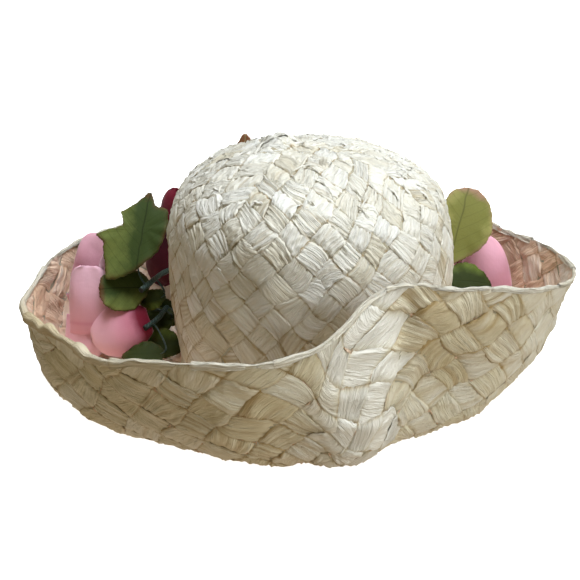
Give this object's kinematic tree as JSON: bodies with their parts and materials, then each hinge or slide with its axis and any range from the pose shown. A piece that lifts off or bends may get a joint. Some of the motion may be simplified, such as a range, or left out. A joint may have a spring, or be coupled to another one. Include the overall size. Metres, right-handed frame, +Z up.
{
  "type": "straw hat",
  "caption": "Woven straw hat with a domed crown, an upturned brim that steps up in an S-shaped turn, and a garland of fabric roses in the trough.",
  "frame": {"origin": "middle of the footprint, on the surface that the brim's lowest ring rests on", "axes": "+Z up; -Y is the plain side, where the brim steps up in its S-shaped turn; +X is to the right when looking along +Y; the garland is on the +Y side"},
  "size_m": [0.3692, 0.3364, 0.1661],
  "materials": {
    "straw": "plaited cream straw strips, slightly glossy",
    "pink": "matte dyed fabric",
    "magenta": "matte dark dyed fabric",
    "leaf": "stiffened green fabric with pressed veins",
    "wire": "dark green wrapped wire"
  },
  "bodies": {
    "root": {"crown": "straw", "brim": "straw", "rose_pink_left": "pink", "rose_pink_right": "pink", "rose_magenta": "magenta", "leaf_left_lobed": "leaf", "leaf_left_lower": "leaf", "leaf_left_floor": "leaf", "leaf_right_oval": "leaf", "leaf_right_lower": "leaf", "leaf_back_tall": "leaf", "stem_upper": "wire", "stem_lower": "wire"}
  },
  "joints": []
}
